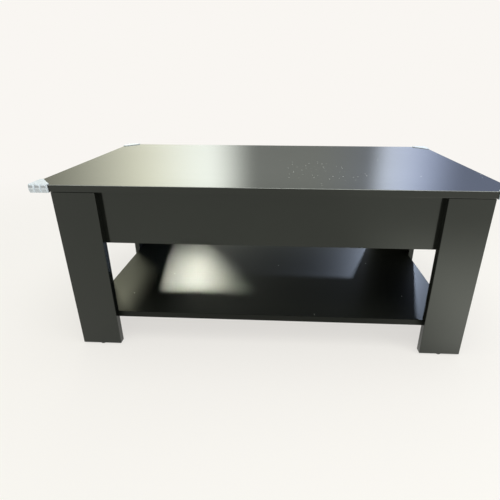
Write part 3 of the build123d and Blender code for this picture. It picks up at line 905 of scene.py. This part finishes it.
class TABLE_OT_set_stage(bpy.types.Operator):
    """Lays the pale floor, lights the studio and sets the camera"""

    bl_idname = "table.set_stage"
    bl_label = "Set Stage"

    def execute(self, context):
        studio = context.scene.table_studio
        self.lay_floor(context, studio)
        self.light_world(context, studio)
        self.hang_lights(context, studio)
        self.set_camera(context, studio)
        context.scene.view_settings.view_transform = "Standard"
        return {"FINISHED"}

    def lay_floor(self, context, studio):
        """A pale floor: near the table it takes light and shadow, further out it meets the backdrop."""
        begin()
        bpy.ops.mesh.primitive_circle_add(vertices=96, radius=studio.floor_radius, fill_type="NGON")
        floor = context.object
        floor.name = "floor"
        material, shader = start_finish("floor")
        place = shader.place()
        away = shader.node("VectorMath", {"operation": "LENGTH"}, {0: place}, output="Value")
        near = shader.ramp(away, studio.shadow_radius * 0.4, studio.shadow_radius, 1.0, 0.0)
        direct = shader.node("LightPath", output="Is Camera Ray")
        mirrored = direct.other("Is Glossy Ray")
        seen = direct + mirrored + direct.other("Is Transmission Ray")
        across, deep, _ = shader.split(place)
        ahead = shader.ramp(deep, *SHEEN_START, SHEEN_FAR, 1.0) * shader.ramp(deep, *SHEEN_END, 1.0, 0.0)
        painted_glow = shader.ramp(across, *SHEEN_ACROSS) * ahead
        colour = rgba(studio.backdrop)
        lit = shader.node("BsdfDiffuse", {}, {"Color": colour})
        plain = shader.node("Emission", {}, {"Color": colour, "Strength": 1.0})
        # Painted reflection: seen in reflections, the floor's right front glows brighter than any lamp lights
        # it, to paint a sheen on the right leg and apron
        bright = shader.node("Emission", {}, {"Color": colour, "Strength": 1.0 + studio.floor_sheen})
        shown = shader.node("MixShader", {}, {0: mirrored * painted_glow, 1: plain, 2: bright})
        factor = seen * (1 - near * studio.shadow_depth)
        shader.output("Material", shader.node("MixShader", {}, {0: factor, 1: lit, 2: shown}))
        cover(floor, material)

    def light_world(self, context, studio):
        """Soft studio walls: a bright window behind on the left, a dim middle and a cool right side."""
        world = bpy.data.worlds.new("studio")
        context.scene.world = world
        world.use_nodes = True
        shader = Shader(world.node_tree)
        across, deep, up = shader.split(shader.node("TexCoord", output="Generated"))
        bearing = shader.math("ARCTAN2", across, deep)
        rise = shader.math("ARCSINE", up)

        def step(angle, start, end, low=0.0, high=1.0):
            """A smooth step between two angles in degrees."""
            return shader.ramp(angle, radians(start), radians(end), low, high)

        def window(start, full, fade, end):
            """1 between two bearings, falling off smoothly past them."""
            return step(bearing, start, full) * (1 - step(bearing, fade, end))

        dim = step(rise, *WINDOW_HEAD)
        lit = (1 - dim) * step(rise, *WINDOW_FOOT, *WINDOW_LEVELS)
        left = window(*LEFT_WINDOW) * lit * LEFT_LEVEL
        right = window(*RIGHT_WINDOW) * lit * RIGHT_LEVEL
        behind = lit * WALL_LEVEL + dim * DIM_LEVEL + left + right
        front = shader.ramp(deep, *FRONT_DEPTH, 1.0, 0.0)
        walls = behind * (1 - front) + front * FRONT_LEVEL
        overhead = step(rise, *CEILING)
        ceiling = shader.ramp(deep, *CEILING_DEPTH, *CEILING_LEVELS)
        level = walls * (1 - overhead) + overhead * ceiling
        coloured = (1 - front) * (1 - overhead)
        warm = step(bearing, *WARM_BEARINGS, 1.0, 0.0) * coloured
        cool = step(bearing, *COOL_BEARINGS) * coloured
        tint = shader.mix(warm, rgba(WALL_TINT), rgba(WARM_TINT))
        tint = shader.mix(cool, tint, rgba(COOL_TINT))
        studio_light = shader.node("Background", {}, {"Color": tint, "Strength": level})
        backdrop = shader.node("Background", {}, {"Color": rgba(studio.backdrop), "Strength": 1.0})
        direct = shader.node("LightPath", output="Is Camera Ray")
        seen = direct + direct.other("Is Transmission Ray")
        shader.output("World", shader.node("MixShader", {}, {0: seen, 1: studio_light, 2: backdrop}))

    def hang_lights(self, context, studio):
        """A wide light overhead, a low one on the right, and three that light the lower shelf alone."""
        shelf_only = bpy.data.collections.new("lower_shelf_only")
        shelf_only.objects.link(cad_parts["lower_shelf"])
        for name, (place, target, width, colour, beam) in LIGHTS.items():
            light = self.hang(context, name, Vector(place), Vector(target))
            light.data.size = width
            light.data.energy = getattr(studio, name)
            light.data.color = colour
            light.data.spread = radians(beam)
            if "shelf" in name:
                light.light_linking.receiver_collection = shelf_only

    def hang(self, context, name, place, target):
        """One round soft light, aimed at a point and not seen itself."""
        begin()
        bpy.ops.object.light_add(type="AREA", location=place)
        light = context.object
        light.name = name
        light.data.shape = "DISK"
        light.rotation_euler = (target - place).to_track_quat("-Z", "Y").to_euler()
        light.visible_camera = False
        return light

    def set_camera(self, context, studio):
        """The camera at the photograph's viewing angle."""
        yaw, pitch, roll = studio.camera_yaw, studio.camera_pitch, studio.camera_roll
        forward = Vector((sin(yaw) * cos(pitch), cos(yaw) * cos(pitch), -sin(pitch)))
        right = Vector((cos(yaw), -sin(yaw), 0))
        up = right.cross(forward)
        leaning_right = right * cos(roll) + up * sin(roll)
        leaning_up = up * cos(roll) - right * sin(roll)
        axes = Matrix((leaning_right, leaning_up, -forward)).transposed()
        begin()
        bpy.ops.object.camera_add(location=studio.camera_place, rotation=axes.to_euler())
        camera = context.object
        camera.name = "photo_camera"
        camera.data.sensor_width = 36
        camera.data.lens = studio.focal_pixels / PHOTO_SIZE * camera.data.sensor_width
        camera.data.shift_x = (PHOTO_SIZE / 2 - studio.centre_x) / PHOTO_SIZE
        camera.data.shift_y = (studio.centre_y - PHOTO_SIZE / 2) / PHOTO_SIZE
        context.scene.camera = camera


class TABLE_PT_pieces(bpy.types.Panel):
    """Lists the table's operators, sizes and colours"""

    bl_idname = "TABLE_PT_pieces"
    bl_label = "Lift Top Coffee Table"
    bl_space_type = "VIEW_3D"
    bl_region_type = "UI"
    bl_category = "Coffee Table"

    def draw(self, context):
        column = self.layout.column()
        for operator in OPERATORS:
            column.operator(operator.bl_idname)
        for name in SETTINGS:
            settings = getattr(context.scene, name)
            for key in settings.__annotations__:
                column.prop(settings, key)


SETTINGS = {
    "table_finish": TableFinish,
    "table_springs": SpringSizes,
    "table_screws": ScrewSizes,
    "table_studio": StudioSetup,
}
OPERATORS = (
    TABLE_OT_dress_boards,
    TABLE_OT_dress_guards,
    TABLE_OT_dress_lift,
    TABLE_OT_dress_fittings,
    TABLE_OT_model_springs,
    TABLE_OT_model_screws,
    TABLE_OT_set_stage,
)
CLASSES = (*SETTINGS.values(), *OPERATORS, TABLE_PT_pieces)


def register():
    for kind in CLASSES:
        bpy.utils.register_class(kind)
    for name, group in SETTINGS.items():
        setattr(bpy.types.Scene, name, PointerProperty(type=group))


def unregister():
    for name in SETTINGS:
        delattr(bpy.types.Scene, name)
    for kind in reversed(CLASSES):
        bpy.utils.unregister_class(kind)


def main():
    register()
    bpy.ops.table.dress_boards()
    bpy.ops.table.dress_guards()
    bpy.ops.table.dress_lift()
    bpy.ops.table.dress_fittings()
    bpy.ops.table.model_springs()
    bpy.ops.table.model_screws()
    bpy.ops.table.set_stage()


if __name__ == "__main__":
    main()
